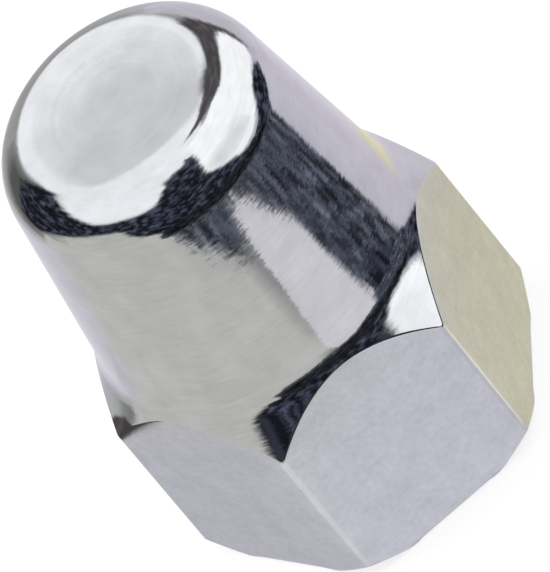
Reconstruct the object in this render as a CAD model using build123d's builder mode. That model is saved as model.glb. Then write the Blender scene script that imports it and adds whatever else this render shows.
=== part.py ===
from build123d import *
import os
from math import radians, sqrt, tan

# Closed-end cap nut: a hexagon nut with a tapered, flat-ended cap over a blind tapped hole.
# Millimetres and degrees. It stands on its open end, with the bearing face on Z = 0 and the
# axis on Z. One flat of the hexagon faces -Y.

# Hexagon
across_flats = 19.0
corner_height = 10.85
base_chamfer_height = 1.1
base_chamfer_angle = 45.0

# Broken edges: the upright corners are a little rounder than the edges that run into them
edge_round = 0.3
corner_extra_round = 0.1

# Crown, where the corners of the hexagon run up into the cap
crown_angle = 28.0
neck_step = 0.25
neck_fillet = 4.4

# Cap
overall_height = 29.3
cap_taper = 6.8
cap_end_round = 3.15

# Tapped hole, at the thread's minor diameter: a metric thread is 5/8 of its full triangle deep
thread_diameter = 12.0
thread_pitch = 1.5
thread_depth_in_pitches = 5 / 8 * sqrt(3) / 2
mouth_clearance = 0.5
mouth_angle = 45.0
drill_point_angle = 118.0
end_wall = 4.2

# Places that follow from the sizes above
corner_radius = across_flats / sqrt(3)
corner_round = edge_round + corner_extra_round
base_face_radius = corner_radius - base_chamfer_height * tan(radians(base_chamfer_angle))
neck_radius = across_flats / 2 - neck_step
neck_height = corner_height + (corner_radius - neck_radius) / tan(radians(crown_angle))
cap_end_radius = neck_radius - (overall_height - neck_height) * tan(radians(cap_taper))
bore_radius = thread_diameter / 2 - thread_depth_in_pitches * thread_pitch
mouth_radius = thread_diameter / 2 + mouth_clearance
mouth_depth = (mouth_radius - bore_radius) / tan(radians(mouth_angle))
point_height = bore_radius / tan(radians(drill_point_angle / 2))
bore_depth = overall_height - end_wall - point_height

with BuildPart() as cap_nut:
    # The turned blank: base chamfer, crown chamfer, neck and tapered cap in one outline
    with BuildSketch(Plane.XZ):
        with BuildLine():
            Polyline(
                (0, 0),
                (base_face_radius, 0),
                (corner_radius, base_chamfer_height),
                (corner_radius, corner_height),
                (neck_radius, neck_height),
                (cap_end_radius, overall_height),
                (0, overall_height),
                close=True,
            )
        blank = make_face()
        neck_corner = blank.vertices().sort_by_distance((neck_radius, neck_height))[0]
        fillet(neck_corner, radius=neck_fillet)
        end_corner = vertices().sort_by_distance((cap_end_radius, overall_height))[0]
        fillet(end_corner, radius=cap_end_round)
    revolve(axis=Axis.Z)

    # Six flats, with their upright corners rounded, cut into the foot of the blank
    with BuildSketch():
        hexagon = RegularPolygon(across_flats / 2, 6, major_radius=False)
        fillet(hexagon.vertices(), radius=corner_round)
    extrude(amount=overall_height, mode=Mode.INTERSECT)

    # The scalloped edge round the crown and the edges of the base are broken in one pass
    side_walls = faces().filter_by(lambda wall: abs(wall.normal_at().Z) < 0.01)
    wall_ends = side_walls.edges().filter_by(Axis.Z, reverse=True)
    chamfer_circle = faces().sort_by(Axis.Z)[0].edges().filter_by(GeomType.CIRCLE)
    fillet(wall_ends + chamfer_circle, radius=edge_round)

    # Countersunk mouth, tapping drill and drill point
    with BuildSketch(Plane.XZ):
        with BuildLine():
            Polyline(
                (0, 0),
                (mouth_radius, 0),
                (bore_radius, mouth_depth),
                (bore_radius, bore_depth),
                (0, bore_depth + point_height),
                close=True,
            )
        make_face()
    revolve(axis=Axis.Z, mode=Mode.SUBTRACT)

cap_nut.part.label = "cap_nut"

os.makedirs("parts", exist_ok=True)
export_step(cap_nut.part, "parts/cap_nut.step")
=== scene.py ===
"""A chromed closed-end cap nut on a pale studio floor.

The nut stands on its open end with its axis on Z, in metres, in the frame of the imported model.
"""

import logging
import math
from dataclasses import dataclass, field
from enum import Enum

import bpy
import numpy as np
from mathutils import Matrix, Vector

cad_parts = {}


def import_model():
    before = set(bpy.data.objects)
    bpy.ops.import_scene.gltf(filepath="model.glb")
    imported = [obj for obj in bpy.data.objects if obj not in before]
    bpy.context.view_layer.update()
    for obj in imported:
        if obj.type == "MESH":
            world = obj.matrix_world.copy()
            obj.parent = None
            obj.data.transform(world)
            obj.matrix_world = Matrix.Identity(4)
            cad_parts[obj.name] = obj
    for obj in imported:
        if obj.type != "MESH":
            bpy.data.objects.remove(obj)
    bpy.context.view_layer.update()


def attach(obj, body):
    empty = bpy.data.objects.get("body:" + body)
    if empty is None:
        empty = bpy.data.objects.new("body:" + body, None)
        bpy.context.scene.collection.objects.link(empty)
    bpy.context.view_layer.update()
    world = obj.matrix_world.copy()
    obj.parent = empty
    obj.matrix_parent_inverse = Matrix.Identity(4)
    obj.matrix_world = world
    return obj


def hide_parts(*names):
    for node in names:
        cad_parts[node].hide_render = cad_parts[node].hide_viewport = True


LOG = logging.getLogger("cap_nut")
MM = 0.001
# Lengths in millimetres that keep a division by nothing harmless
TINY = 1e-9
# Inputs and output of a mix node, by what it mixes
MIX_SOCKETS = {"FLOAT": (2, 3, 0), "RGBA": (6, 7, 2)}
# Middle of the span of a noise, taken away to leave shares that are even about zero
NOISE_MIDDLE = 0.5
NODE = "cap_nut"
# Cells along the longer side of a card's grid, its finest cell and the margin round its outline, in the
# outline's own degrees or millimetres
CARD_CELLS = 110
CARD_FINEST = 0.4
CARD_MARGIN = 1.0
# Rounds that bring points on to the hexagon's wall, and on to the finished skin
WALL_ROUNDS = 12
SKIN_ROUNDS = 6
# Shares of each finish that a vertex carries, by the name that the plate's material reads
FINISH_SHARES = ("satin_wall", "turned_end", "bare_bore")
BORE_SHARES = (0.0, 0.0, 1.0)
DOWN = np.array([0.0, 0.0, -1.0])


def linear(hex_colour: str) -> tuple[float, float, float, float]:
    """Turn an sRGB hex colour into the linear colour that a shader takes.

    Args:
        hex_colour: Colour as "#RRGGBB".

    Returns:
        Linear red, green and blue, with an alpha of 1.
    """
    parts = [int(hex_colour[i : i + 2], 16) / 255 for i in (1, 3, 5)]
    red, green, blue = (p / 12.92 if p <= 0.04045 else ((p + 0.055) / 1.055) ** 2.4 for p in parts)
    return red, green, blue, 1.0


def add_node(
    tree: bpy.types.NodeTree, kind: str, links: dict | None = None, **settings: object
) -> bpy.types.Node:
    """Add one shader node, set it up and link its inputs.

    Args:
        tree: Node tree that gets the node.
        kind: Node type name.
        links: Value or output socket for each input, by input name or index.
        settings: Attributes of the node itself, such as its operation.

    Returns:
        The new node.
    """
    node = tree.nodes.new(kind)
    for name, value in settings.items():
        setattr(node, name, value)
    for name, value in (links or {}).items():
        if isinstance(value, bpy.types.NodeSocket):
            tree.links.new(value, node.inputs[name])
        else:
            node.inputs[name].default_value = value
    return node


def maths(
    tree: bpy.types.NodeTree, operation: str, *values: float | bpy.types.NodeSocket
) -> bpy.types.NodeSocket:
    """Add one sum of numbers.

    Args:
        tree: Node tree that gets the node.
        operation: What is done with the values.
        values: Values or output sockets, in the node's order.

    Returns:
        The result.
    """
    return add_node(tree, "ShaderNodeMath", dict(enumerate(values)), operation=operation).outputs[0]


def vectors(
    tree: bpy.types.NodeTree, operation: str, *values: float | tuple | bpy.types.NodeSocket
) -> bpy.types.NodeSocket:
    """Add one sum of vectors.

    Args:
        tree: Node tree that gets the node.
        operation: What is done with the values.
        values: Values or output sockets, in the node's order: a vector and a number for SCALE.

    Returns:
        The result, which is a number for LENGTH.
    """
    places = (0, "Scale") if operation == "SCALE" else (0, 1, 2)
    node = add_node(tree, "ShaderNodeVectorMath", dict(zip(places, values)), operation=operation)
    return node.outputs["Value" if operation == "LENGTH" else "Vector"]


def mix(
    tree: bpy.types.NodeTree, share: bpy.types.NodeSocket, first: object, second: object, kind: str = "FLOAT"
) -> bpy.types.NodeSocket:
    """Add one mix of two numbers or two colours.

    Args:
        tree: Node tree that gets the node.
        share: Share of the second.
        first: Value or output socket that shows where the share is 0.
        second: Value or output socket that shows where the share is 1.
        kind: What is mixed, by its name in MIX_SOCKETS.

    Returns:
        The mix.
    """
    one, other, mixed = MIX_SOCKETS[kind]
    node = add_node(tree, "ShaderNodeMix", {0: share, one: first, other: second}, data_type=kind)
    return node.outputs[mixed]


def empty_material(name: str) -> bpy.types.Material:
    """Make a material with an empty node tree.

    Args:
        name: Name of the material.

    Returns:
        The material.
    """
    material = bpy.data.materials.new(name)
    material.use_nodes = True
    material.node_tree.nodes.clear()
    return material


def add_tilt(
    tree: bpy.types.NodeTree,
    place: bpy.types.NodeSocket,
    size: float,
    detail: float,
    depth: float | bpy.types.NodeSocket,
) -> bpy.types.NodeSocket:
    """Add a tilt of the surface that wanders evenly about none.

    Args:
        tree: Node tree that gets the nodes.
        place: Place on the nut in millimetres.
        size: Millimetres from one dimple to the next.
        detail: Octaves of finer dimples.
        depth: Twice the most that the surface tilts.

    Returns:
        The tilt.
    """
    noise = add_node(tree, "ShaderNodeTexNoise", {"Vector": place, "Scale": 1 / size, "Detail": detail})
    even = vectors(tree, "SUBTRACT", noise.outputs["Color"], (NOISE_MIDDLE,) * 3)
    return vectors(tree, "SCALE", even, depth)


def arc_points(
    corner: np.ndarray, before: np.ndarray, after: np.ndarray, radius: float, steps: int
) -> np.ndarray:
    """Round one corner of an outline with a tangent arc.

    Args:
        corner: The sharp corner.
        before: A point on the run into the corner.
        after: A point on the run out of it.
        radius: Radius of the arc.
        steps: Number of chords in the arc.

    Returns:
        Points along the arc, from the first run to the second.
    """
    into = (before - corner) / np.linalg.norm(before - corner)
    out = (after - corner) / np.linalg.norm(after - corner)
    half = math.acos(np.clip(into @ out, -1, 1)) / 2
    bisector = (into + out) / np.linalg.norm(into + out)
    centre = corner + bisector * radius / math.sin(half)
    first = corner + into * radius / math.tan(half) - centre
    last = corner + out * radius / math.tan(half) - centre
    turn = math.pi - 2 * half
    shares = np.linspace(0, 1, steps + 1)[:, None]
    spokes = np.sin((1 - shares) * turn) * first + np.sin(shares * turn) * last
    return centre + spokes / math.sin(turn)


@dataclass
class NutShape:
    """The nut's outer form in millimetres: a turned blank cut by a hexagon, with its edges broken."""

    across_flats: float = 19.0
    corner_height: float = 10.85
    base_chamfer_height: float = 1.1
    edge_round: float = 0.3
    corner_round: float = 0.4
    crown_angle: float = 28.0
    neck_step: float = 0.25
    neck_fillet: float = 4.4
    overall_height: float = 29.3
    cap_taper: float = 6.8
    cap_end_round: float = 3.15
    # Chords in each arc of the outline
    base_chords: int = 8
    neck_chords: int = 40
    cap_end_chords: int = 90

    def __post_init__(self) -> None:
        """Work out the places that follow from the sizes, and the blank's outline."""
        self.corner_radius = self.across_flats / math.sqrt(3)
        self.base_face_radius = self.corner_radius - self.base_chamfer_height
        self.neck_radius = self.across_flats / 2 - self.neck_step
        crown_run = self.corner_radius - self.neck_radius
        self.neck_height = self.corner_height + crown_run / math.tan(math.radians(self.crown_angle))
        cap_run = self.overall_height - self.neck_height
        self.cap_end_radius = self.neck_radius - cap_run * math.tan(math.radians(self.cap_taper))
        self.base_line = self.base_outline()
        self.crown_line = self.crown_outline()
        # The outline goes outside the hexagon's corners, so that both surfaces cross everywhere
        self.blank_line = np.vstack([self.base_line, self.crown_line])

    def base_outline(self) -> np.ndarray:
        """Give the outline from the axis over the bearing face and up the corner chamfer.

        Returns:
            Points as radius and height.
        """
        centre = np.array([0.0, 0.0])
        edge = np.array([self.base_face_radius, 0.0])
        tip = np.array([self.corner_radius, self.base_chamfer_height])
        edge_arc = arc_points(edge, centre, tip, self.edge_round, self.base_chords)
        return np.vstack([centre, edge_arc, tip])

    def crown_outline(self) -> np.ndarray:
        """Give the outline from the top of the corners over the neck and the cap to the axis.

        Returns:
            Points as radius and height.
        """
        corner = np.array([self.corner_radius, self.corner_height])
        neck = np.array([self.neck_radius, self.neck_height])
        end = np.array([self.cap_end_radius, self.overall_height])
        top = np.array([0.0, self.overall_height])
        neck_arc = arc_points(neck, corner, end, self.neck_fillet, self.neck_chords)
        end_arc = arc_points(end, neck, top, self.cap_end_round, self.cap_end_chords)
        return np.vstack([corner, neck_arc, end_arc, top])

    def to_blank(self, radius: np.ndarray, height: np.ndarray) -> tuple[np.ndarray, np.ndarray]:
        """Measure how far points are outside the turned blank.

        Args:
            radius: Distance of each point from the axis.
            height: Height of each point.

        Returns:
            Signed distances, and the outward directions as radius and height.
        """
        point = np.stack([radius, height], -1)
        best = np.full(radius.shape, np.inf)
        way = np.zeros(point.shape)
        line = self.blank_line
        for start, stop in zip(line[:-1], line[1:]):
            run = stop - start
            share = np.clip(((point - start) @ run) / (run @ run), 0, 1)
            gap = point - (start + share[..., None] * run)
            outward = np.array([run[1], -run[0]]) / np.linalg.norm(run)
            size = np.linalg.norm(gap, axis=-1)
            sign = np.where(gap @ outward >= 0, 1.0, -1.0)
            nearer = size < np.abs(best) - TINY
            best = np.where(nearer, sign * size, best)
            on_line = size < 1000 * TINY
            away = gap * (sign / np.maximum(size, TINY))[..., None]
            direction = np.where(on_line[..., None], outward, away)
            way = np.where(nearer[..., None], direction, way)
        return best, way

    def to_hexagon(self, x: np.ndarray, y: np.ndarray) -> tuple[np.ndarray, np.ndarray]:
        """Measure how far points are outside the hexagon with its rounded upright corners.

        Args:
            x: Places along X.
            y: Places along Y.

        Returns:
            Signed distances, and the outward directions as X and Y.
        """
        # Fold every point on to the half face that looks along +X
        angle = np.arctan2(y, x)
        face = np.round((angle - math.pi / 6) / (math.pi / 3)) * (math.pi / 3) + math.pi / 6
        along = x * np.cos(face) + y * np.sin(face)
        across = -x * np.sin(face) + y * np.cos(face)
        side = np.where(across >= 0, 1.0, -1.0)
        across = np.abs(across)
        inner = self.across_flats / 2 - self.corner_round
        limit = inner * math.tan(math.pi / 6)
        beyond = np.maximum(across - limit, 0.0)
        reach = along - inner
        on_arc = (beyond > 0) & (reach > 0)
        distance = np.where(on_arc, np.hypot(reach, beyond), reach) - self.corner_round
        size = np.maximum(np.hypot(reach, beyond), TINY)
        normal_along = np.where(on_arc, reach / size, 1.0)
        normal_across = np.where(on_arc, side * beyond / size, 0.0)
        out_x = normal_along * np.cos(face) - normal_across * np.sin(face)
        out_y = normal_along * np.sin(face) + normal_across * np.cos(face)
        return distance, np.stack([out_x, out_y], -1)

    def skin(self, points: np.ndarray) -> tuple[np.ndarray, np.ndarray]:
        """Measure points against the finished skin, where the blank and the hexagon meet in rolled edges.

        Args:
            points: Points, one to a row.

        Returns:
            Signed distances to the skin, and its outward directions.
        """
        radius = np.hypot(points[:, 0], points[:, 1])
        blank, blank_way = self.to_blank(radius, points[:, 2])
        wall, wall_way = self.to_hexagon(points[:, 0], points[:, 1])
        spoke = points[:, :2] / np.maximum(radius, TINY)[:, None]
        blank_out = np.column_stack([spoke * blank_way[:, :1], blank_way[:, 1]])
        wall_out = np.column_stack([wall_way, np.zeros(len(points))])
        # Where both surfaces face nearly the same way, they have no edge to roll
        cosine = np.clip((blank_out * wall_out).sum(1), -0.999, 0.999)
        sine_squared = 1 - cosine**2
        u = blank + self.edge_round
        v = wall + self.edge_round
        share_u = (u - v * cosine) / sine_squared
        share_v = (v - u * cosine) / sine_squared
        rolled = (share_u > 0) & (share_v > 0)
        reach = np.sqrt(np.maximum(u**2 + v**2 - 2 * u * v * cosine, TINY / 1000) / sine_squared)
        distance = np.where(rolled, reach - self.edge_round, np.maximum(blank, wall))
        blend = share_u[:, None] * blank_out + share_v[:, None] * wall_out
        unrolled = np.where((blank > wall)[:, None], blank_out, wall_out)
        outward = np.where(rolled[:, None], blend, unrolled)
        return distance, outward / np.linalg.norm(outward, axis=1)[:, None]


@dataclass
class TappedHole:
    """The blind tapped hole in millimetres: countersink, right-hand metric thread and drill point."""

    diameter: float = 12.0
    pitch: float = 1.5
    mouth_clearance: float = 0.5
    bore_depth: float = 21.983
    drill_point_angle: float = 118.0
    # The thread starts just inside the mouth, is whole up to full_thread and fades out over fade
    start: float = 0.06
    full_thread: float = 17.5
    fade: float = 2.0
    # Shares of the pitch that a crest and a flank of 60 degrees take up: the root has what is left
    crest: float = 1 / 4
    flank: float = 5 / 16
    # Shares of the pitch where the rows of one turn lie, close to each side of every bend in its section
    phases: tuple[float, ...] = (0, 0.115, 0.14, 0.425, 0.455, 0.545, 0.575, 0.86, 0.885)
    # Smooth bore between the last row of the thread and the drill point
    bore_end: float = 0.3

    def __post_init__(self) -> None:
        """Work out the thread's minor radius and the mouth."""
        self.depth = 5 / 8 * math.sqrt(3) / 2 * self.pitch
        self.minor_radius = self.diameter / 2 - self.depth
        self.mouth_radius = self.diameter / 2 + self.mouth_clearance
        self.point_height = self.minor_radius / math.tan(math.radians(self.drill_point_angle / 2))

    def radius(self, turn: np.ndarray, height: np.ndarray) -> np.ndarray:
        """Give the hole's radius.

        Args:
            turn: Place round the axis, in turns.
            height: Height above the bearing face.

        Returns:
            Distance from the axis to the metal.
        """
        phase = ((height - self.start) / self.pitch - turn) % 1.0
        off_crest = np.minimum(phase, 1 - phase) - self.crest / 2
        groove = np.clip(off_crest / self.flank, 0, 1) * self.depth
        groove = groove * np.clip((self.full_thread + self.fade - height) / self.fade, 0, 1)
        # The countersink is a cone of 45 degrees
        cone = self.mouth_radius - height
        return np.maximum(self.minor_radius + groove, cone)


class Patch:
    """Vertices, faces and corner normals that are gathered into one mesh."""

    def __init__(self) -> None:
        """Start empty."""
        self.points: list[np.ndarray] = []
        self.faces: list[list[int]] = []
        self.normals: list[list[np.ndarray]] = []
        self.shares: list[np.ndarray] = []
        self.count = 0

    def add_points(self, points: np.ndarray, shares: np.ndarray | None = None) -> int:
        """Add points.

        Args:
            points: Points, one to a row.
            shares: Shares of each finish at each point, or none for buffed skin.

        Returns:
            Index of the first one.
        """
        first = self.count
        self.points.append(points)
        if shares is None:
            shares = np.zeros((len(points), len(FINISH_SHARES)))
        self.shares.append(shares)
        self.count += len(points)
        return first

    def add_face(self, corners: list[int], normals: list[np.ndarray]) -> None:
        """Add a face, leaving out a corner that repeats.

        Args:
            corners: Vertex indices.
            normals: A normal for each corner.
        """
        kept = [i for i, corner in enumerate(corners) if corner not in corners[:i]]
        if len(kept) > 2:
            self.faces.append([corners[i] for i in kept])
            self.normals.append([normals[i] for i in kept])

    def add_grid(self, index: np.ndarray, normals: np.ndarray) -> None:
        """Add the quads between neighbouring rows and columns of vertices.

        Args:
            index: Vertex index at each row and column.
            normals: Normal at each row and column.
        """
        rows, columns = index.shape
        for i in range(rows - 1):
            for j in range(columns - 1):
                places = ((i, j), (i, j + 1), (i + 1, j + 1), (i + 1, j))
                self.add_face([int(index[p]) for p in places], [normals[p] for p in places])

    def build(self, name: str) -> bpy.types.Object:
        """Make the object.

        Args:
            name: Name of the object.

        Returns:
            The object, linked to the scene.
        """
        mesh = bpy.data.meshes.new(name)
        mesh.from_pydata(np.vstack(self.points) * MM, [], self.faces)
        mesh.polygons.foreach_set("use_smooth", [True] * len(mesh.polygons))
        mesh.update()
        mesh.normals_split_custom_set([tuple(n) for face in self.normals for n in face])
        shares = np.vstack(self.shares)
        for column, finish in enumerate(FINISH_SHARES):
            layer = mesh.attributes.new(finish, "FLOAT", "POINT")
            layer.data.foreach_set("value", shares[:, column].astype(np.float32))
        piece = bpy.data.objects.new(name, mesh)
        bpy.context.scene.collection.objects.link(piece)
        return piece


@dataclass
class CapNut:
    """The nut itself: one piece of metal, with its outer skin and its tapped hole in one closed mesh."""

    shape: NutShape = field(default_factory=NutShape)
    hole: TappedHole = field(default_factory=TappedHole)
    # Degrees from a corner of the hexagon to the middle of a face, closest where the corner is rounded
    corner_steps: tuple[float, ...] = (
        0, 0.22, 0.44, 0.66, 0.9, 1.2, 1.6, 2.2, 3, 4, 5, 6.2, 7.5, 9, 10.7, 12.5, 14.4, 16.4, 18.4,
        20.4, 22.4, 24.4, 26.2, 28.1,
    )
    # Shares of the foot's outline where its first rows lie: the others are even, up to the wall
    foot_shares: tuple[float, ...] = (0, 0.25, 0.45)
    foot_rows: int = 17
    # Millimetres from each rolled edge to the rows beside it, and rows over the rest of the wall
    edge_rows: tuple[float, ...] = (0.05, 0.1, 0.16, 0.23, 0.32, 0.45)
    wall_margin: float = 0.75
    wall_rows: int = 12
    # Rows over the neck, up the cap, over its rounded end and in to the middle of the flat
    neck_reach: tuple[float, float] = (0.7, 5.5)
    neck_rows: int = 30
    cap_rows: int = 12
    end_reach: tuple[float, float] = (-3.1, 2.6)
    end_rows: int = 46
    flat_rows: int = 14
    # Where the middle and the top of the end's arc lie, in shares of its radius in from the cap's corner
    arc_middle: float = 0.45
    arc_foot: float = 0.86
    # The real end is turned very slightly domed: its normals lean out by this many degrees at the rim
    end_lean: float = 4.6
    level_from: float = 0.98
    # Millimetres inside the blank over which buffed skin gives way to the satin wall
    satin_start: float = 0.02
    satin_fade: float = 0.12
    # How level the skin is, as the height of its normal, where it starts to be a faced end
    faced_start: float = 0.985
    faced_fade: float = 0.01

    def turns(self) -> np.ndarray:
        """Give the angles of the skin's columns.

        Returns:
            Angles in degrees, all the way round.
        """
        half = np.array(self.corner_steps)
        whole = np.concatenate([half, [30.0], 60 - half[:0:-1]])
        return np.concatenate([whole + 60 * i for i in range(6)])

    def wall_radius(self, angles: np.ndarray) -> np.ndarray:
        """Find how far the hexagon's wall is from the axis.

        Args:
            angles: Angles in radians.

        Returns:
            The wall's radius at each angle.
        """
        radius = np.full(angles.shape, self.shape.across_flats / 2)
        for _ in range(WALL_ROUNDS):
            gap, way = self.shape.to_hexagon(radius * np.cos(angles), radius * np.sin(angles))
            slope = way[:, 0] * np.cos(angles) + way[:, 1] * np.sin(angles)
            radius = radius - gap / slope
        return radius

    def section(self, wall: float) -> np.ndarray:
        """Lay out one column of the skin before its edges are rolled.

        Args:
            wall: Radius of the hexagon's wall at this column.

        Returns:
            Points as radius and height, from the mouth of the hole to the middle of the cap's end.
        """
        shape = self.shape
        foot = clip_line(shape.base_line, wall, keep_start=True)
        foot = foot[1:] if foot[1, 0] <= self.hole.mouth_radius else foot
        foot[0] = (self.hole.mouth_radius, 0.0)
        crown = clip_line(shape.crown_line, wall, keep_start=False)
        first_even = self.foot_shares[-1] + 0.1
        foot_places = np.concatenate([self.foot_shares, np.linspace(first_even, 1, self.foot_rows)])
        foot_run = spread(foot, foot_places)
        near = np.array(self.edge_rows)
        low = foot_run[-1, 1]
        high = crown[0, 1]
        middle = np.linspace(low + self.wall_margin, high - self.wall_margin, self.wall_rows)
        heights = np.concatenate([low + near, middle, high - near[::-1]])
        wall_run = np.column_stack([np.full(len(heights), wall), heights])
        # Distances along the crown: close rows where it rolls over, then the rest of the cap
        length = line_length(crown)
        end_middle = length - shape.cap_end_radius - shape.cap_end_round * self.arc_middle
        end_start = end_middle + self.end_reach[0]
        end_stop = end_middle + self.end_reach[1]
        crown_places = np.concatenate([
            [0],
            near,
            np.linspace(*self.neck_reach, self.neck_rows),
            np.linspace(self.neck_reach[1] + 0.3, end_start - 0.1, self.cap_rows),
            np.linspace(end_start, end_stop, self.end_rows),
            end_stop + np.linspace(0.03, 1, self.flat_rows) * (length - end_stop),
        ])
        return np.vstack([foot_run, wall_run, along(crown, crown_places)])

    def roll_edges(self, points: np.ndarray) -> tuple[np.ndarray, np.ndarray]:
        """Move points on to the finished skin.

        Args:
            points: Points near the skin, one to a row.

        Returns:
            The moved points and the skin's outward directions.
        """
        moved = points.copy()
        for _ in range(SKIN_ROUNDS):
            gap, outward = self.shape.skin(moved)
            moved = moved - gap[:, None] * outward
        return moved, self.shape.skin(moved)[1]

    def lean_end(self, points: np.ndarray, normals: np.ndarray) -> np.ndarray:
        """Lean the flat end's normals out towards its rim, as on a very slight dome.

        The points stay flat: so small a dome only shows in what the end mirrors.

        Args:
            points: The skin's points.
            normals: The skin's outward directions.

        Returns:
            The outward directions, with those of the end leaned out.
        """
        radius = np.hypot(points[..., 0], points[..., 1])
        flat_radius = self.shape.cap_end_radius - self.shape.cap_end_round * self.arc_foot
        share = np.clip(radius / flat_radius, 0, 1)
        on_end = (normals[..., 2] > self.level_from) & (points[..., 2] > self.shape.neck_height)
        spoke = points[..., :2] / np.maximum(radius, TINY)[..., None]
        rounding = np.hypot(normals[..., 0], normals[..., 1])
        sideways = np.maximum(rounding, math.sin(math.radians(self.end_lean)) * share)
        upward = np.sqrt(np.clip(1 - sideways**2, 0, 1))
        leaned = np.concatenate([spoke * sideways[..., None], upward[..., None]], -1)
        return np.where(on_end[..., None], leaned, normals)

    def finish_shares(self, points: np.ndarray, normals: np.ndarray) -> np.ndarray:
        """Say which finish each point has.

        Args:
            points: The skin's points.
            normals: The skin's outward directions.

        Returns:
            Shares of the hexagon's satin walls, the faced ends and the bore, from 0 to 1.
        """
        depth = -self.shape.to_blank(np.hypot(points[..., 0], points[..., 1]), points[..., 2])[0]
        below_neck = points[..., 2] < self.shape.neck_height
        wall = np.clip((depth - self.satin_start) / self.satin_fade, 0, 1) * below_neck
        end = np.clip((np.abs(normals[..., 2]) - self.faced_start) / self.faced_fade, 0, 1)
        return np.stack([wall, end, np.zeros(end.shape)], -1)

    def add_skin(self, patch: Patch) -> np.ndarray:
        """Add the outer skin.

        Args:
            patch: Mesh data that gets the skin.

        Returns:
            Vertex indices round the mouth of the hole.
        """
        angles = np.radians(self.turns())
        columns = [self.section(wall) for wall in self.wall_radius(angles)]
        rows = len(columns[0]) - 1
        section = np.stack([column[:-1] for column in columns], 1)
        radius, height = section[..., 0], section[..., 1]
        points = np.stack([radius * np.cos(angles), radius * np.sin(angles), height], -1)
        # The first row is the mouth of the hole, which has no edge to roll
        moved, normals = self.roll_edges(points[1:].reshape(-1, 3))
        points[1:] = moved.reshape(points[1:].shape)
        mouth_normals = np.tile(DOWN, (1, len(angles), 1))
        normals = np.concatenate([mouth_normals, normals.reshape(points[1:].shape)])
        normals = self.lean_end(points, normals)
        shares = self.finish_shares(points, normals)
        first = patch.add_points(points.reshape(-1, 3), shares.reshape(-1, len(FINISH_SHARES)))
        index = first + np.arange(rows * len(angles)).reshape(rows, len(angles))
        index = np.column_stack([index, index[:, 0]])
        normals = np.concatenate([normals, normals[:, :1]], 1)
        patch.add_grid(index, normals)
        top_point = np.array([[0.0, 0.0, self.shape.overall_height]])
        up = -DOWN
        top = patch.add_points(top_point, self.finish_shares(top_point, up[None]))
        for j in range(len(angles)):
            patch.add_face([int(index[-1, j]), int(index[-1, j + 1]), top], [up, up, up])
        return index[0, :-1]

    def build(self) -> bpy.types.Object:
        """Build the nut.

        Returns:
            The nut as one closed mesh.
        """
        patch = Patch()
        mouth = self.add_skin(patch)
        self.add_hole(patch, mouth)
        return patch.build("cap_nut_body")

    def add_hole(self, patch: Patch, mouth: np.ndarray) -> None:
        """Add the countersink, the helical thread and the drill point.

        Args:
            patch: Mesh data that gets the hole.
            mouth: Vertex indices round the mouth, from angle 0.
        """
        hole = self.hole
        full = np.append(np.radians(self.turns()) / (2 * math.pi), 1.0)
        pitches = int((hole.full_thread + hole.fade) / hole.pitch)
        start = hole.start
        # The first and last rows are level, and those between follow the helix
        rows = [np.full(full.shape, 0.0), np.full(full.shape, start)]
        lead = full * hole.pitch
        for share in hole.phases[1:]:
            rows.append(start + lead * share)
        for k in range(pitches):
            for phase in hole.phases:
                rows.append(start + lead + (k + phase) * hole.pitch)
        last = start + lead + pitches * hole.pitch
        finish = start + (pitches + 1) * hole.pitch
        for share in hole.phases:
            rows.append(last + (finish - last) * share)
        for height in (finish, hole.bore_depth - hole.bore_end, hole.bore_depth):
            rows.append(np.full(full.shape, height))
        self.grid_hole(patch, mouth, full, np.array(rows))

    def grid_hole(self, patch: Patch, mouth: np.ndarray, full: np.ndarray, heights: np.ndarray) -> None:
        """Turn the hole's rows into faces.

        Args:
            patch: Mesh data that gets the faces.
            mouth: Vertex indices round the mouth.
            full: Place of each column in turns, with the first repeated at the end.
            heights: Height at each row and column.
        """
        hole = self.hole
        angle = full * 2 * math.pi
        radius = hole.radius(full, heights)
        points = np.stack([radius * np.cos(angle), radius * np.sin(angle), heights], -1)
        inward = np.stack([-np.cos(angle), -np.sin(angle), np.zeros_like(angle)], -1)
        normals = self.hole_normals(points, full, heights)
        # Points that fall together share a vertex: rows that meet, and the seam where one turn of the
        # helix joins the next
        keys: dict[tuple[int, int, int], int] = {}
        for j, vertex in enumerate(mouth):
            keys[key_of(points[0, j])] = int(vertex)
        fresh: list[np.ndarray] = []
        index = np.zeros(heights.shape, int)
        for place in np.ndindex(heights.shape):
            key = key_of(points[place])
            if key not in keys:
                keys[key] = patch.count + len(fresh)
                fresh.append(points[place])
            index[place] = keys[key]
        patch.add_points(np.array(fresh), np.tile(BORE_SHARES, (len(fresh), 1)))
        # The hole is seen from inside, so its columns run the other way round
        patch.add_grid(index[:, ::-1], normals[:, ::-1])
        tip_point = np.array([[0.0, 0.0, hole.bore_depth + hole.point_height]])
        tip = patch.add_points(tip_point, np.array([BORE_SHARES]))
        half = math.radians(hole.drill_point_angle / 2)
        for j in range(len(full) - 1):
            pair = [inward[i] * math.cos(half) + DOWN * math.sin(half) for i in (j + 1, j)]
            patch.add_face([int(index[-1, j + 1]), int(index[-1, j]), tip], [*pair, DOWN])

    def hole_normals(self, points: np.ndarray, full: np.ndarray, heights: np.ndarray) -> np.ndarray:
        """Find which way the hole's skin faces at each row and column.

        Args:
            points: Point at each row and column.
            full: Place of each column in turns.
            heights: Height at each row and column.

        Returns:
            Unit directions into the hole.
        """
        hole = self.hole
        angle = full * 2 * math.pi
        radius = hole.radius(full, heights)
        # How fast the radius grows up the hole and round it, over small steps
        step = 0.02
        growth = hole.radius(full, heights + step) - hole.radius(full, heights - step)
        rising = growth / (2 * step)
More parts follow.
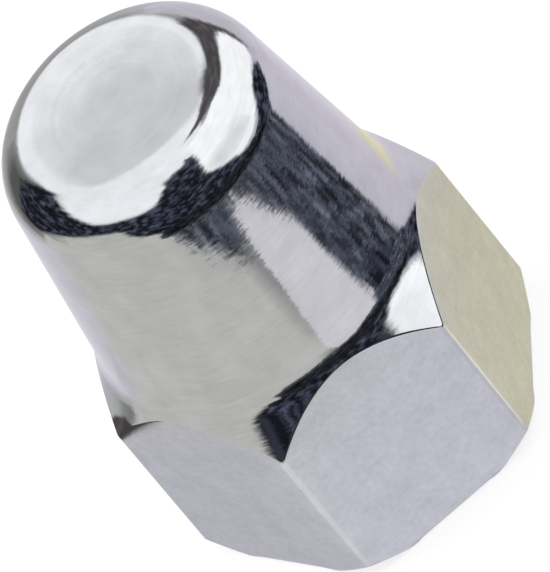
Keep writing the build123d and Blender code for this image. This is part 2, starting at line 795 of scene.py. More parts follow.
        # The first two rows lie on the countersink's cone
        rising[:2] = -1.0
        bit = 1e-3
        growth = hole.radius(full + bit, heights) - hole.radius(full - bit, heights)
        turning = growth / (2 * bit * 2 * math.pi)
        inward = np.stack([-np.cos(angle), -np.sin(angle), np.zeros_like(angle)], -1)[None]
        round_way = np.stack([-np.sin(angle), np.cos(angle), np.zeros_like(angle)], -1)[None]
        smooth = inward - rising[..., None] * DOWN + (turning / radius)[..., None] * round_way
        smooth /= np.linalg.norm(smooth, axis=-1)[..., None]
        # Where the thread runs out into the countersink, the grid itself says which way it faces
        facing = np.cross(np.gradient(points, axis=0), np.gradient(points, axis=1))
        length = np.linalg.norm(facing, axis=-1)
        facing = facing / np.maximum(length, TINY / 1000)[..., None]
        astray = ((facing * smooth).sum(-1) < 0.5) & (length > TINY)
        return np.where(astray[..., None], facing, smooth)


def key_of(point: np.ndarray) -> tuple[int, int, int]:
    """Round a point to a ten-thousandth of a millimetre, to tell whether two are the same.

    Args:
        point: The point.

    Returns:
        Three whole numbers.
    """
    return tuple(int(round(c * 1e4)) for c in point)


def line_length(line: np.ndarray) -> float:
    """Measure an outline.

    Args:
        line: Points, one to a row.

    Returns:
        Its length.
    """
    return float(np.linalg.norm(np.diff(line, axis=0), axis=1).sum())


def along(line: np.ndarray, places: np.ndarray) -> np.ndarray:
    """Find points at given distances along an outline.

    Args:
        line: Points, one to a row.
        places: Distances from the outline's start.

    Returns:
        Points at those distances.
    """
    run = np.concatenate([[0], np.cumsum(np.linalg.norm(np.diff(line, axis=0), axis=1))])
    return np.column_stack([np.interp(places, run, line[:, 0]), np.interp(places, run, line[:, 1])])


def spread(line: np.ndarray, shares: np.ndarray) -> np.ndarray:
    """Find points at given shares of an outline's length.

    Args:
        line: Points, one to a row.
        shares: Shares from 0 to 1.

    Returns:
        Points at those shares.
    """
    return along(line, shares * line_length(line))


def clip_line(line: np.ndarray, radius: float, keep_start: bool) -> np.ndarray:
    """Cut an outline where it crosses a radius.

    Args:
        line: Points as radius and height.
        radius: Radius of the cut.
        keep_start: Keep the part before the cut, or else the part after it.

    Returns:
        The kept part, ending or starting on the cut.
    """
    inside = line[:, 0] < radius
    if keep_start:
        last = len(line) - 1 if inside.all() else int(np.argmin(inside))
    else:
        last = int(np.argmax(inside))
    before = line[last - 1]
    after = line[last]
    share = (radius - before[0]) / (after[0] - before[0])
    cut = before + share * (after - before)
    return np.vstack([line[:last], cut]) if keep_start else np.vstack([cut, line[last:]])


@dataclass
class SkinPlace:
    """Where a shader is on the nut: sockets that every part of the plate's pattern reads."""

    place: bpy.types.NodeSocket
    spoke: bpy.types.NodeSocket
    radius: bpy.types.NodeSocket
    round_way: bpy.types.NodeSocket
    wall: bpy.types.NodeSocket
    end: bpy.types.NodeSocket
    bore: bpy.types.NodeSocket
    turned: bpy.types.NodeSocket

    @classmethod
    def read(cls, tree: bpy.types.NodeTree) -> "SkinPlace":
        """Add the nodes that find the place.

        Args:
            tree: Node tree that gets the nodes.

        Returns:
            Place in millimetres, direction out from the axis, distance from it, direction round it, and
            shares of the satin walls, the faced ends, the bore and all that was turned.
        """
        where = add_node(tree, "ShaderNodeTexCoord")
        place = vectors(tree, "SCALE", where.outputs["Object"], 1 / MM)
        level = vectors(tree, "MULTIPLY", place, (1.0, 1.0, 0.0))
        spoke = vectors(tree, "NORMALIZE", level)
        radius = vectors(tree, "LENGTH", level)
        round_way = vectors(tree, "CROSS_PRODUCT", (0.0, 0.0, 1.0), spoke)
        wall, end, bore = (
            add_node(tree, "ShaderNodeAttribute", attribute_name=name).outputs["Fac"]
            for name in FINISH_SHARES
        )
        turned = maths(tree, "SUBTRACT", 1.0, wall)
        return cls(place, spoke, radius, round_way, wall, end, bore, turned)


@dataclass(frozen=True)
class BrightChromePlate:
    """Decorative chromium, electroplated over bright nickel on a steel blank.

    It gives a neutral, slightly blue mirror that is dark wherever the room is dark. The cap is buffed in
    a lathe, which leaves fine lines round it, so that the edges of what it mirrors are jagged. The
    hexagon's walls are cold drawn, which leaves a fine satin grain under the plate. The ends are faced
    off on the lathe, so they have faint rings. The plate doesn't throw into the blind hole, which stays
    duller and greyer, the colour of oiled steel.
    """

    metal: str = "#C6C8CA"
    roughness: float = 0.07
    wall_roughness: float = 0.26
    end_roughness: float = 0.12
    bore_metal: str = "#A39F99"
    bore_roughness: float = 0.4
    # Buffing lines are about 0.1 mm apart and a few millimetres long, on a cap of about this radius
    cap_radius: float = 8.0
    buffing_line: float = 0.11
    buffing_reach: float = 1.4
    buffing_tilt: float = 0.028
    # The drawn steel's grain is about 0.05 mm, drawn at 0.16 mm so that it shows
    wall_grain: float = 0.16
    wall_tilt: float = 0.035
    # The light and dark of the grain are a little coarser than its dimples
    mottle_coarseness: float = 2.2
    # Facing rings are about 0.1 mm apart, drawn at 0.3 mm so that they show
    ring_spacing: float = 0.3
    ring_change: float = 0.35
    ring_tilt: float = 0.009
    # How much the grain of each surface lightens and darkens the plate
    wall_mottle: float = 0.26
    line_mottle: float = 0.20
    ring_mottle: float = 0.10
    # Buffing compound leaves cloudy patches of a millimetre or two, with finer specks in them
    cloud: float = 1.6
    cloud_mottle: float = 0.30
    # Buffing leaves a fine orange peel between its lines
    peel: float = 0.25
    peel_tilt: float = 0.009
    # Plating over a rolled blank is wavy over a few millimetres
    wave: float = 3.0
    wave_tilt: float = 0.012

    def build(self) -> bpy.types.Material:
        """Make the material.

        Returns:
            The material.
        """
        material = empty_material("bright_chrome_plate")
        tree = material.node_tree
        skin = SkinPlace.read(tree)
        buffed, line_shade = self.buffing(tree, skin)
        faced, ring_shade = self.facing(tree, skin)
        grain, wall_shade = self.drawing(tree, skin)
        normal = add_node(tree, "ShaderNodeNewGeometry").outputs["Normal"]
        for tilt in (buffed, faced, grain, self.waves(tree, skin), self.orange_peel(tree, skin)):
            normal = vectors(tree, "ADD", normal, tilt)
        normal = vectors(tree, "NORMALIZE", normal)
        shader = add_node(tree, "ShaderNodeBsdfPrincipled", {
            "Base Color": self.tint(tree, skin, line_shade, ring_shade, wall_shade),
            "Metallic": 1.0,
            "Roughness": self.gloss(tree, skin),
            "Normal": normal,
        })
        add_node(tree, "ShaderNodeOutputMaterial", {"Surface": shader.outputs["BSDF"]})
        return material

    def buffing(
        self, tree: bpy.types.NodeTree, skin: SkinPlace
    ) -> tuple[bpy.types.NodeSocket, bpy.types.NodeSocket]:
        """Add the buffing lines: noise that is long round the axis and short along it.

        Args:
            tree: Node tree that gets the nodes.
            skin: Place on the nut.

        Returns:
            Tilt of the surface, and lighter and darker shares about zero.
        """
        girth = vectors(tree, "SCALE", skin.spoke, self.cap_radius / self.buffing_reach)
        spot = vectors(tree, "MULTIPLY_ADD", skin.place, (0.0, 0.0, 1 / self.buffing_line), girth)
        lines = add_node(tree, "ShaderNodeTexNoise", {"Vector": spot, "Scale": 1.0, "Detail": 2.0})
        even = vectors(tree, "SUBTRACT", lines.outputs["Color"], (NOISE_MIDDLE,) * 3)
        parts = add_node(tree, "ShaderNodeSeparateXYZ", {0: even})
        sideways = vectors(tree, "SCALE", skin.round_way, parts.outputs["X"])
        # Half of the tilt along the axis, and all of it round it
        both_ways = vectors(tree, "MULTIPLY_ADD", even, (0.0, 0.0, 0.5), sideways)
        on_cap = maths(tree, "SUBTRACT", skin.turned, skin.end)
        depth = maths(tree, "MULTIPLY", on_cap, 2 * self.buffing_tilt)
        return vectors(tree, "SCALE", both_ways, depth), parts.outputs["Z"]

    def facing(
        self, tree: bpy.types.NodeTree, skin: SkinPlace
    ) -> tuple[bpy.types.NodeSocket, bpy.types.NodeSocket]:
        """Add the rings that facing leaves on the end.

        Args:
            tree: Node tree that gets the nodes.
            skin: Place on the nut.

        Returns:
            Tilt of the surface, and lighter and darker shares about zero.
        """
        step = maths(tree, "DIVIDE", skin.radius, self.ring_spacing)
        out = add_node(tree, "ShaderNodeCombineXYZ", {"Z": step}).outputs[0]
        # The rings change a little round the end, so that none is perfect
        spot = vectors(tree, "MULTIPLY_ADD", skin.spoke, (self.ring_change,) * 3, out)
        rings = add_node(tree, "ShaderNodeTexNoise", {"Vector": spot, "Scale": 1.0, "Detail": 2.0})
        even = maths(tree, "SUBTRACT", rings.outputs["Fac"], NOISE_MIDDLE)
        on_end = maths(tree, "MULTIPLY", even, skin.end)
        depth = maths(tree, "MULTIPLY", on_end, 2 * self.ring_tilt)
        return vectors(tree, "SCALE", skin.spoke, depth), even

    def drawing(
        self, tree: bpy.types.NodeTree, skin: SkinPlace
    ) -> tuple[bpy.types.NodeSocket, bpy.types.NodeSocket]:
        """Add the satin grain of the drawn walls.

        Args:
            tree: Node tree that gets the nodes.
            skin: Place on the nut.

        Returns:
            Tilt of the surface, and lighter and darker shares about zero.
        """
        depth = maths(tree, "MULTIPLY", skin.wall, 2 * self.wall_tilt)
        tilt = add_tilt(tree, skin.place, self.wall_grain, 3.0, depth)
        coarse = 1 / (self.mottle_coarseness * self.wall_grain)
        cloud = add_node(tree, "ShaderNodeTexNoise", {"Vector": skin.place, "Scale": coarse, "Detail": 3.0})
        return tilt, maths(tree, "SUBTRACT", cloud.outputs["Fac"], NOISE_MIDDLE)

    def waves(self, tree: bpy.types.NodeTree, skin: SkinPlace) -> bpy.types.NodeSocket:
        """Add the slow waves of the whole skin.

        Args:
            tree: Node tree that gets the nodes.
            skin: Place on the nut.

        Returns:
            Tilt of the surface.
        """
        return add_tilt(tree, skin.place, self.wave, 1.0, 2 * self.wave_tilt)

    def orange_peel(self, tree: bpy.types.NodeTree, skin: SkinPlace) -> bpy.types.NodeSocket:
        """Add the orange peel between the buffing lines.

        Args:
            tree: Node tree that gets the nodes.
            skin: Place on the nut.

        Returns:
            Tilt of the surface.
        """
        depth = maths(tree, "MULTIPLY", skin.turned, 2 * self.peel_tilt)
        return add_tilt(tree, skin.place, self.peel, 1.0, depth)

    def gloss(self, tree: bpy.types.NodeTree, skin: SkinPlace) -> bpy.types.NodeSocket:
        """Make the drawn walls, the faced ends and the bore duller than the buffed cap.

        Args:
            tree: Node tree that gets the nodes.
            skin: Place on the nut.

        Returns:
            Roughness.
        """
        roughness = self.roughness
        surfaces = (
            (skin.wall, self.wall_roughness),
            (skin.end, self.end_roughness),
            (skin.bore, self.bore_roughness),
        )
        for share, duller in surfaces:
            roughness = mix(tree, share, roughness, duller)
        return roughness

    def tint(
        self,
        tree: bpy.types.NodeTree,
        skin: SkinPlace,
        line_shade: bpy.types.NodeSocket,
        ring_shade: bpy.types.NodeSocket,
        wall_shade: bpy.types.NodeSocket,
    ) -> bpy.types.NodeSocket:
        """Lighten and darken the metal with the grain of each surface.

        Args:
            tree: Node tree that gets the nodes.
            skin: Place on the nut.
            line_shade: Shares of the buffing lines.
            ring_shade: Shares of the facing rings.
            wall_shade: Shares of the drawn grain.

        Returns:
            Colour of the plate.
        """
        patches = add_node(
            tree, "ShaderNodeTexNoise", {"Vector": skin.place, "Scale": 1 / self.cloud, "Detail": 6.0}
        )
        clouds = maths(tree, "SUBTRACT", patches.outputs["Fac"], NOISE_MIDDLE)
        cloudy = maths(tree, "MULTIPLY_ADD", clouds, self.cloud_mottle, 1.0)
        lathe = mix(tree, skin.end, line_shade, ring_shade)
        on_lathe = mix(tree, skin.end, self.line_mottle, self.ring_mottle)
        amount = mix(tree, skin.wall, on_lathe, self.wall_mottle)
        grain = mix(tree, skin.wall, lathe, wall_shade)
        shade = maths(tree, "MULTIPLY_ADD", grain, amount, cloudy)
        metal = mix(tree, skin.bore, linear(self.metal), linear(self.bore_metal), "RGBA")
        return vectors(tree, "SCALE", metal, shade)


@dataclass(frozen=True)
class CardFinish:
    """The face of a card: cloth stretched over a softbox, tinted board, or felt on a dark flag.

    It shines evenly at the level that the nut is to mirror. Felt has a mottle of a second colour, sized
    as the nut sees it: in degrees round the nut, and in millimetres away from it.
    """

    name: str
    colour: str
    strength: float = 1.0
    mottle: str | None = None
    mottle_turn: float = 8.0
    mottle_run: float = 40.0
    # Span of the noise over which one colour gives way to the other: a narrow one gives sharp specks
    mottle_span: tuple[float, float] = (0.45, 0.7)

    def build(self) -> bpy.types.Material:
        """Make the material. The card's own edge shares fade it out.

        Returns:
            The material.
        """
        material = empty_material(self.name)
        tree = material.node_tree
        colour = self.felt(tree) if self.mottle else linear(self.colour)
        light = add_node(tree, "ShaderNodeEmission", {"Color": colour, "Strength": self.strength})
        clear = add_node(tree, "ShaderNodeBsdfTransparent")
        cover = add_node(tree, "ShaderNodeAttribute", attribute_name="cover")
        both = add_node(
            tree, "ShaderNodeMixShader",
            {0: cover.outputs["Fac"], 1: clear.outputs["BSDF"], 2: light.outputs["Emission"]},
        )
        add_node(tree, "ShaderNodeOutputMaterial", {"Surface": both.outputs["Shader"]})
        return material

    def felt(self, tree: bpy.types.NodeTree) -> bpy.types.NodeSocket:
        """Mottle the face.

        Args:
            tree: Node tree that gets the nodes.

        Returns:
            Colour of the face.
        """
        where = add_node(tree, "ShaderNodeTexCoord").outputs["Object"]
        way = vectors(tree, "NORMALIZE", where)
        reach = vectors(tree, "LENGTH", where)
        run = maths(tree, "DIVIDE", reach, self.mottle_run * MM)
        away = add_node(tree, "ShaderNodeCombineXYZ", {"Z": run}).outputs[0]
        turn = (1 / math.radians(self.mottle_turn),) * 3
        spot = vectors(tree, "MULTIPLY_ADD", way, turn, away)
        cloud = add_node(tree, "ShaderNodeTexNoise", {"Vector": spot, "Scale": 1.0, "Detail": 4.0})
        low, high = self.mottle_span
        share = add_node(
            tree, "ShaderNodeMapRange", {"Value": cloud.outputs["Fac"], "From Min": low, "From Max": high}
        )
        return mix(tree, share.outputs[0], linear(self.colour), linear(self.mottle), "RGBA")


@dataclass(frozen=True)
class CardStock:
    """The finishes of the cards: cloth that is lit from behind, tinted board, and felt that stays dark."""

    white_cloth: CardFinish = CardFinish("softbox_cloth", "#FFFFFF", 1.58)
    dim_cloth: CardFinish = CardFinish("dim_softbox_cloth", "#FDFDFF", 1.40)
    hem_cloth: CardFinish = CardFinish("softbox_hem", "#FDFDFF", 1.2)
    centre_cloth: CardFinish = CardFinish("softbox_centre", "#FDFDFF", 0.99)
    navy_felt: CardFinish = CardFinish(
        "navy_felt", "#1C1B22", mottle="#6A7188", mottle_turn=5.0, mottle_span=(0.47, 0.7)
    )
    near_felt: CardFinish = CardFinish(
        "navy_felt_near", "#131218", mottle="#A6ADC4", mottle_turn=5.0, mottle_run=0.5,
        mottle_span=(0.47, 0.68),
    )
    black_felt: CardFinish = CardFinish(
        "black_felt", "#161619", mottle="#4A4B54", mottle_turn=5.0, mottle_run=9.0
    )
    brown_felt: CardFinish = CardFinish("brown_felt", "#5A5657", mottle="#7A7577", mottle_turn=5.0)
    haze_felt: CardFinish = CardFinish("grey_felt", "#6E6C6C")
    # Dark grey-brown card seen only in reflections, for the card that lies against the nut's left ear: a
    # painted dark reflection
    grey_brown_painted_reflection: CardFinish = CardFinish("grey_brown_painted_reflection", "#55504F", mottle="#8A8482")
    green_board: CardFinish = CardFinish(
        "green_grey_board", "#E2E1DC", mottle="#E9E8E2", mottle_turn=16.0, mottle_run=5.0
    )
    violet_board: CardFinish = CardFinish("violet_board", "#E8E2EE", mottle="#F0EBF4", mottle_turn=14.0)
    grey_board: CardFinish = CardFinish("grey_board", "#BBBBB8")
    fringe_board: CardFinish = CardFinish("grey_fringe", "#B0B1AF")
    face_board: CardFinish = CardFinish("face_board", "#F2F0FA")
    left_board: CardFinish = CardFinish("left_face_board", "#DCDAE3")
    lens_board: CardFinish = CardFinish("lens_board", "#FEFAFF")
    olive_board: CardFinish = CardFinish("olive_board", "#EDE7CD")
    edge_board: CardFinish = CardFinish("edge_board", "#FDFDFF", 1.02)
    warm_board: CardFinish = CardFinish("warm_edge_board", "#FFF8E8", 1.2)


@dataclass(frozen=True)
class WhitePaper:
    """A sweep of matt white paper.

    It shows as the white page behind the nut, and darkens softly where the nut stands on it.
    """

    colour: str = "#C8C8CA"
    # Share of the lamps' light that the paper returns, and the light that keeps the page white
    return_share: float = 0.4
    page_light: float = 0.78

    def build(self) -> bpy.types.Material:
        """Make the material.

        Returns:
            The material.
        """
        material = empty_material("white_paper")
        tree = material.node_tree
        seen = add_node(tree, "ShaderNodeLightPath")
        matt = add_node(tree, "ShaderNodeBsdfDiffuse", {"Color": linear(self.colour)})
        shown = add_node(
            tree, "ShaderNodeEmission", {"Color": linear("#FFFFFF"), "Strength": self.page_light}
        )
        none = add_node(tree, "ShaderNodeEmission", {"Strength": 0.0})
        page = add_node(
            tree, "ShaderNodeMixShader",
            {0: seen.outputs["Is Camera Ray"], 1: none.outputs["Emission"], 2: shown.outputs["Emission"]},
        )
        thin = add_node(tree, "ShaderNodeMixShader", {0: self.return_share, 2: matt.outputs["BSDF"]})
        both = add_node(tree, "ShaderNodeAddShader", {0: thin.outputs[0], 1: page.outputs[0]})
        add_node(tree, "ShaderNodeOutputMaterial", {"Surface": both.outputs["Shader"]})
        return material


class CardPlace(Enum):
    """Where a card's outline is given."""

    SKY = "azimuth and elevation in degrees as seen from the nut, azimuth 0 along +Y and 90 along +X"
    FLOOR = "X and Y on the floor in millimetres"


@dataclass
class Card:
    """A card or softbox that only the nut's mirror finish sees."""

    name: str
    finish: CardFinish
    outline: list[tuple[float, float]]
    place: CardPlace
    distance: float
    soft: float = 1.0
    centre: tuple[float, float, float] = (0.0, 0.0, 15.0)

    def grid(self) -> tuple[np.ndarray, np.ndarray]:
        """Lay a fine grid over the outline, and measure how deep each of its points is inside.

        Returns:
            Grid points as rows and columns of pairs, and their signed depth inside the outline.
        """
        line = np.array(self.outline, float)
        low = line.min(0) - CARD_MARGIN
        high = line.max(0) + CARD_MARGIN
        step = max((high - low).max() / CARD_CELLS, CARD_FINEST)
        across = np.arange(low[0], high[0] + step, step)
        up = np.arange(low[1], high[1] + step, step)
        points = np.stack(np.meshgrid(across, up), -1)
        inside = np.zeros(points.shape[:2], bool)
        depth = np.full(points.shape[:2], np.inf)
        for start, stop in zip(line, np.roll(line, -1, 0)):
            run = stop - start
            share = np.clip(((points - start) @ run) / (run @ run), 0, 1)
            depth = np.minimum(depth, np.linalg.norm(points - (start + share[..., None] * run), axis=-1))
            spans = (start[1] > points[..., 1]) != (stop[1] > points[..., 1])
            height = run[1] if run[1] else TINY
            inside ^= spans & (points[..., 0] < start[0] + (points[..., 1] - start[1]) / height * run[0])
        return points, np.where(inside, depth, -depth)

    def build(self) -> bpy.types.Object:
        """Build the card and hide it from everything but reflections.

        Returns:
            The card.
        """
        points, depth = self.grid()
        cover = np.clip(depth / (2 * self.soft) + 0.5, 0, 1)
        if self.place is CardPlace.SKY:
            azimuth = np.radians(points[..., 0])
            elevation = np.radians(points[..., 1])
            east = np.cos(elevation) * np.sin(azimuth)
            north = np.cos(elevation) * np.cos(azimuth)
            ray = np.stack([east, north, np.sin(elevation)], -1)
            solid = np.array(self.centre) + ray * self.distance
        else:
            solid = np.concatenate([points, np.full(points.shape[:2] + (1,), self.distance)], -1)
        rows, columns = cover.shape
        index = np.arange(rows * columns).reshape(rows, columns)
        quads = np.stack([index[:-1, :-1], index[:-1, 1:], index[1:, 1:], index[1:, :-1]], -1)
        seen = (cover[:-1, :-1] + cover[:-1, 1:] + cover[1:, 1:] + cover[1:, :-1]) > 0
        mesh = bpy.data.meshes.new(self.name)
        mesh.from_pydata((solid.reshape(-1, 3) * MM).tolist(), [], quads[seen].tolist())
        layer = mesh.attributes.new("cover", "FLOAT", "POINT")
        layer.data.foreach_set("value", cover.ravel().astype(np.float32))
        mesh.materials.append(self.finish.build())
        card = bpy.data.objects.new(self.name, mesh)
        bpy.context.scene.collection.objects.link(card)
        card.visible_camera = False
        card.visible_diffuse = False
        card.visible_shadow = False
        card.visible_transmission = False
        card.visible_volume_scatter = False
        return card


@dataclass
class SoftLamp:
    """A soft square lamp that looks at the nut and isn't mirrored in it."""

    name: str
    # Degrees round the nut, 0 along +Y and 90 along +X, and above the floor
    azimuth: float
    elevation: float
    watts: float
    # Metres
    side: float = 1.2
    distance: float = 1.2

    def build(self) -> bpy.types.Object:
        """Add the lamp.

        Returns:
            The lamp.
        """
        data = bpy.data.lights.new(self.name, "AREA")
        data.energy = self.watts
        data.size = self.side
        lamp = bpy.data.objects.new(self.name, data)
        azimuth = math.radians(self.azimuth)
        elevation = math.radians(self.elevation)
        ray = Vector((math.sin(azimuth), math.cos(azimuth), 0.0)) * math.cos(elevation)
        ray.z = math.sin(elevation)
        lamp.location = ray * self.distance
        lamp.rotation_euler = ray.to_track_quat("Z", "Y").to_euler()
        lamp.visible_glossy = False
        bpy.context.scene.collection.objects.link(lamp)
        return lamp


@dataclass
class Studio:
    """Pale floor, white surround, two soft lamps and the cards that the chrome mirrors."""

    floor_side: float = 6.0
    lamps: tuple[SoftLamp, ...] = (SoftLamp("key_lamp", -60, 55, 12.0), SoftLamp("fill_lamp", 110, 50, 8.0))
    # The white page that the camera sees, and the walls that light the nut
    surround: str = "#FFFFFF"
    walls: str = "#FDFDFB"
    wall_light: float = 0.55
    # What the chrome mirrors below the horizon is the paper, seen a little cooler and darker
    mirrored_paper: str = "#F3F1FA"
    mirrored_light: float = 0.88

    def floor(self) -> bpy.types.Object:
        """Build the floor.

        Returns:
            The floor.
        """
        half = self.floor_side / 2
        corners = [(-half, -half, 0), (half, -half, 0), (half, half, 0), (-half, half, 0)]
        mesh = bpy.data.meshes.new("floor")
        mesh.from_pydata(corners, [], [(0, 1, 2, 3)])
        mesh.materials.append(WhitePaper().build())
        floor = bpy.data.objects.new("floor", mesh)
        bpy.context.scene.collection.objects.link(floor)
        # The cards lie over it, and stand in for it in the chrome
        floor.visible_glossy = False
        return floor

    def world(self) -> bpy.types.World:
        """Light the room evenly, and show it white.

        Returns:
            The world.
        """
        world = bpy.data.worlds.new("white_room")
        world.use_nodes = True
        tree = world.node_tree
        tree.nodes.clear()
        seen = add_node(tree, "ShaderNodeLightPath")
        way = add_node(tree, "ShaderNodeTexCoord")
        height = add_node(tree, "ShaderNodeSeparateXYZ", {0: way.outputs["Generated"]})
        below = maths(tree, "LESS_THAN", height.outputs["Z"], 0.0)
        lights = []
        for colour, strength in (
            (self.walls, self.wall_light), (self.mirrored_paper, self.mirrored_light), (self.surround, 1.0),
        ):
            lights.append(
                add_node(tree, "ShaderNodeBackground", {"Color": linear(colour), "Strength": strength})
            )
        walls, paper, white = lights
        mirrored = add_node(
            tree, "ShaderNodeMixShader", {0: below, 1: walls.outputs[0], 2: paper.outputs[0]}
        )
        room = add_node(
            tree, "ShaderNodeMixShader",
            {0: seen.outputs["Is Glossy Ray"], 1: walls.outputs[0], 2: mirrored.outputs[0]},
        )
        shown = add_node(
            tree, "ShaderNodeMixShader",
            {0: seen.outputs["Is Camera Ray"], 1: room.outputs[0], 2: white.outputs[0]},
        )
        add_node(tree, "ShaderNodeOutputWorld", {"Surface": shown.outputs[0]})
        bpy.context.scene.world = world
        return world

    def soft_boxes(self) -> list[Card]:
        """Lay out the lit soft boxes. Together they are the light zones of the cap and the crown.

        Returns:
            The cards, not built yet.
        """
        stock = CardStock()
        sky = CardPlace.SKY
        return [
            Card("softbox_left", stock.dim_cloth, [
                (-152, 40), (-140, 36), (-100, 30), (-80, 35), (-60, 42), (-42, 46), (-36, 38),
                (-30, 28), (-15, 16), (0, 6), (12, 16), (22, 30), (28, 48), (14, 52), (26, 58),
                (30, 88), (-160, 88), (-160, 60),
            ], sky, 620, soft=3),
            Card("softbox_centre", stock.centre_cloth, [
                (-24, 66), (-13, 50), (-7, 42), (1.6, 38.5), (10, 42), (16, 50), (28, 66),
            ], sky, 560, soft=4),
            Card("softbox_front", stock.dim_cloth, [
                (-170, 89), (-120, 72), (-60, 62), (-20, 58), (2, 57), (24, 58.5), (36, 66), (40, 89),
            ], sky, 540, soft=0.6),
            Card("softbox_right", stock.white_cloth, [
                (45, 25), (48, 14), (56, 2), (66, -4), (76, 2), (90, 8), (104, 0), (120, -7),
                (134, -4), (141, 6), (152, 15), (161, 26), (159, 45), (148, 64), (130, 76), (90, 80),
                (62, 62), (56, 50), (50, 34),
            ], sky, 610, soft=1.5),
            Card("softbox_right_hem", stock.hem_cloth, [
                (112, 6), (154, 12), (157, 34), (146, 40), (118, 34),
            ], sky, 606, soft=7),
            Card("softbox_top", stock.dim_cloth, [
                (-182, 69), (182, 69), (182, 89.9), (-182, 89.9),
            ], sky, 640, soft=1),
        ]

    def flags(self) -> list[Card]:
        """Lay out the felt flags, which part the light zones with dark ones, and a card right against the
        nut's left ear that paints a dark reflection on it.

        Returns:
            The cards, not built yet.
        """
        stock = CardStock()
        sky = CardPlace.SKY
        return [
            Card("flag_between", stock.brown_felt, [
                (20, 33), (24, 26), (28, 20), (36, 16), (44, 8), (52, 0), (60, -8), (57, 2), (50, 10),
                (46, 20), (46, 28), (50, 36), (58, 43), (66, 52), (60, 62), (52, 72), (38, 76),
                (26, 74), (22, 64), (26, 56), (12, 52), (28, 49), (27, 38),
            ], sky, 600, soft=2),
            Card("flag_left", stock.navy_felt, [
                (-181, 70), (-165, 66), (-150, 40), (-140, 35), (-100, 29), (-80, 34), (-60, 41),
                (-42, 45), (-37, 37), (-36, 20), (-42, 5), (-46, -8), (-60, -12), (-75, -3), (-90, 5),
                (-105, 12), (-118, 16), (-124, 12), (-127, 3), (-133, -4), (-141, -10), (-150, -16),
                (-181, -26),
            ], sky, 590, soft=2),
            Card("flag_left_haze", stock.haze_felt, [
                (-50, 40), (-38, 38), (-30, 24), (-24, 18), (-22, 8), (-26, -6), (-38, -16),
                (-56, -20), (-60, -10),
            ], sky, 605, soft=8),
            Card("flag_right", stock.navy_felt, [
                (181, 70), (165, 68), (150, 76), (147, 66), (159, 45), (162, 28), (152, 15), (142, 4),
                (134, -8), (128, -30), (165, -15), (181, -24),
            ], sky, 580, soft=2),
            Card("flag_low", stock.navy_felt, [
                (68, -12), (74, -2), (80, 4), (88, 6), (94, 4), (100, -1), (108, -8), (120, -12),
                (134, -6), (146, 4), (170, -10), (181, -24), (130, -40), (96, -40), (84, -24),
            ], sky, 500, soft=1.5),
            Card("flag_blob", stock.brown_felt, [
                (27, 55), (33, 58), (43, 59.5), (55, 58.5), (61, 55.5), (54, 52.5), (43, 51.5),
                (32, 52.5),
            ], sky, 530, soft=1),
            # This card lies within about a millimetre of the crown at the left corner, so it paints a dark
            # reflection on the nut there
            Card("painted_dark_reflection_left_ear", stock.grey_brown_painted_reflection, [
                (-78, -14), (-93, -9.5), (-106, -5), (-105, -1.5), (-97, -3), (-89, -2.5), (-84, -5),
            ], sky, 11.2, soft=0.5, centre=(0.0, 0.0, 12.5)),
        ]

    def walls_and_floor(self) -> list[Card]:
        """Lay out the tinted boards round the nut and on the floor, nearer ones over further ones.

        Returns:
            The cards, not built yet.
        """
        stock = CardStock()
        sky = CardPlace.SKY
        floor = CardPlace.FLOOR
        return [
            Card("grey_wall", stock.grey_board, [
                (-80, 40), (-78, -24), (-20, -28), (12, -30), (14, 10), (8, 48), (-30, 50),
            ], sky, 635, soft=8),
            Card("green_wall", stock.green_board, [
                (-160, 14), (-60, 14), (-60, -12), (-50, -18), (-60, -45), (-160, -45),
            ], sky, 640, soft=3),
            Card("violet_wall", stock.violet_board, [
                (14, 18), (60, 18), (84, -6), (84, -50), (14, -50),
            ], sky, 640, soft=6),
            Card("green_floor", stock.green_board, [
                (1, -24), (2, -36), (5, -43), (8, -52), (-14, -52), (-40, -62), (-70, -100),
                (-100, -60), (-110, 50), (-40, 22), (-22, 10), (-20, -4), (-18, -16), (-8, -23),
            ], floor, 0.3, soft=0.8),
            Card("dark_floor", stock.near_felt, [
                (26, -5), (28, -15), (24, -22), (20, -25), (27, -34), (23, -41), (17, -48), (11, -49),
                (6, -46), (0, -45.5), (-12, -47), (-24, -44.5), (-36, -50), (-50, -74), (-62, -104),
                (-62, -150), (75, -150), (75, -5), (45, -3),
            ], floor, 0.6, soft=0.5),
            Card("dark_far_floor", stock.black_felt, [
                (36, -40), (16, -54), (-10, -55), (-30, -51), (-50, -74), (-62, -104), (-62, -150),
                (75, -150), (75, -20), (54, -13),
            ], floor, 0.66, soft=2.5),
            Card("fringe_floor", stock.fringe_board, [
                (0.5, -36), (7, -36), (13, -52), (-4, -52),
            ], floor, 0.5, soft=4),
            Card("olive_floor", stock.olive_board, [
                (5.2, -10), (16, -4.3), (20.2, 1), (21.6, 6), (21.2, 11), (19, 16), (8, 18), (9, 0),
            ], floor, 0.35, soft=0.2),
            Card("face_floor", stock.face_board, [
                (-6, -9), (6, -9), (6.5, -22), (-6.5, -22),
            ], floor, 0.25, soft=0.3),
            Card("left_face_floor", stock.left_board, [
                (-5, -10), (-24, -3), (-24, 14), (-8, 14),
            ], floor, 0.27, soft=0.3),
            Card("lens_floor", stock.lens_board, [
                (1, -24), (1.5, -35), (4.5, -42), (8.5, -50), (18, -52), (30, -36), (20, -22),
            ], floor, 0.55, soft=0.25),
            Card("edge_floor", stock.edge_board, [
                (-5.7, -9.8), (-16, -4.4), (-18, -14), (-12, -20), (-5.8, -22),
            ], floor, 0.4, soft=0.6),
            Card("warm_edge_floor", stock.warm_board, [
                (6.2, -9.9), (16, -5.2), (17, -10), (14, -14),
            ], floor, 0.42, soft=0.3),
        ]

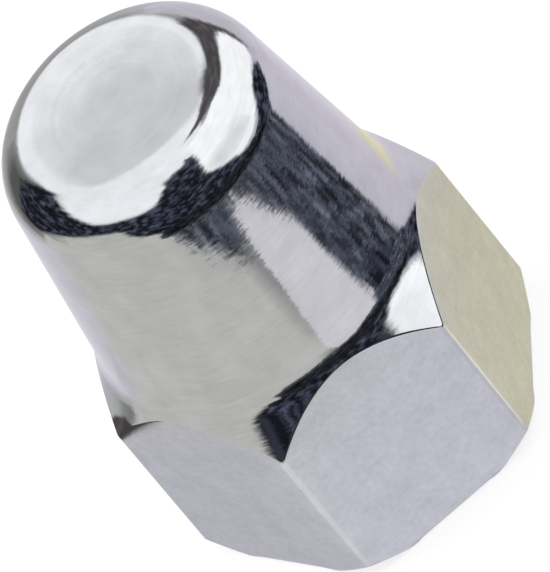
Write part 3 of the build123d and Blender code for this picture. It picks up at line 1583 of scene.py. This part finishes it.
    def build(self) -> None:
        """Set up the whole studio."""
        LOG.info("%s: %.1f m square", self.floor().name, self.floor_side)
        LOG.info("%s: white to the camera", self.world().name)
        for lamp in self.lamps:
            LOG.info("%s: %.0f W", lamp.build().name, lamp.watts)
        for card in self.soft_boxes() + self.flags() + self.walls_and_floor():
            LOG.info("%s: %d faces", card.name, len(card.build().data.polygons))


@dataclass
class PhotoCamera:
    """A long lens that looks down at the nut, rolled so that the nut lies across the picture."""

    # Degrees round the nut from the face that looks along -Y, above the floor, and of roll
    azimuth: float = -1.6554
    elevation: float = 44.4066
    roll: float = -39.5739
    # Millimetres
    distance: float = 900.0
    lens: float = 1091.96
    sensor: float = 36.0
    aim: tuple[float, float, float] = (0.3174, -1.6145, 13.3618)
    # Metres from the camera to the nearest and furthest things that it shows
    nearest: float = 0.01
    furthest: float = 20.0

    def build(self) -> bpy.types.Object:
        """Add the camera.

        Returns:
            The camera, which is also the scene's.
        """
        azimuth, elevation, roll = (math.radians(a) for a in (self.azimuth, self.elevation, self.roll))
        level = Vector((math.cos(azimuth), math.sin(azimuth), 0.0))
        back = Vector((math.sin(azimuth), -math.cos(azimuth), 0.0)) * math.cos(elevation)
        back.z = math.sin(elevation)
        upright = back.cross(level)
        right = level * math.cos(roll) + upright * math.sin(roll)
        turn = Matrix((right, back.cross(right), back)).transposed().to_4x4()
        data = bpy.data.cameras.new("camera")
        data.lens = self.lens
        data.sensor_width = self.sensor
        data.clip_start = self.nearest
        data.clip_end = self.furthest
        camera = bpy.data.objects.new("camera", data)
        camera.matrix_world = Matrix.Translation((Vector(self.aim) + back * self.distance) * MM) @ turn
        bpy.context.scene.collection.objects.link(camera)
        bpy.context.scene.camera = camera
        return camera


def main() -> None:
    """Build the nut, its studio and the camera."""
    logging.basicConfig(level=logging.INFO, format="%(name)s: %(message)s")
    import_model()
    bpy.context.scene.view_settings.view_transform = "Standard"

    nut = CapNut().build()
    nut.data.materials.append(BrightChromePlate().build())
    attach(nut, "root")
    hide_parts(NODE)
    LOG.info("%s: %d vertices, %d faces", nut.name, len(nut.data.vertices), len(nut.data.polygons))

    Studio().build()
    camera = PhotoCamera().build()
    LOG.info("%s: %.0f mm lens", camera.name, camera.data.lens)


if __name__ == "__main__":
    main()
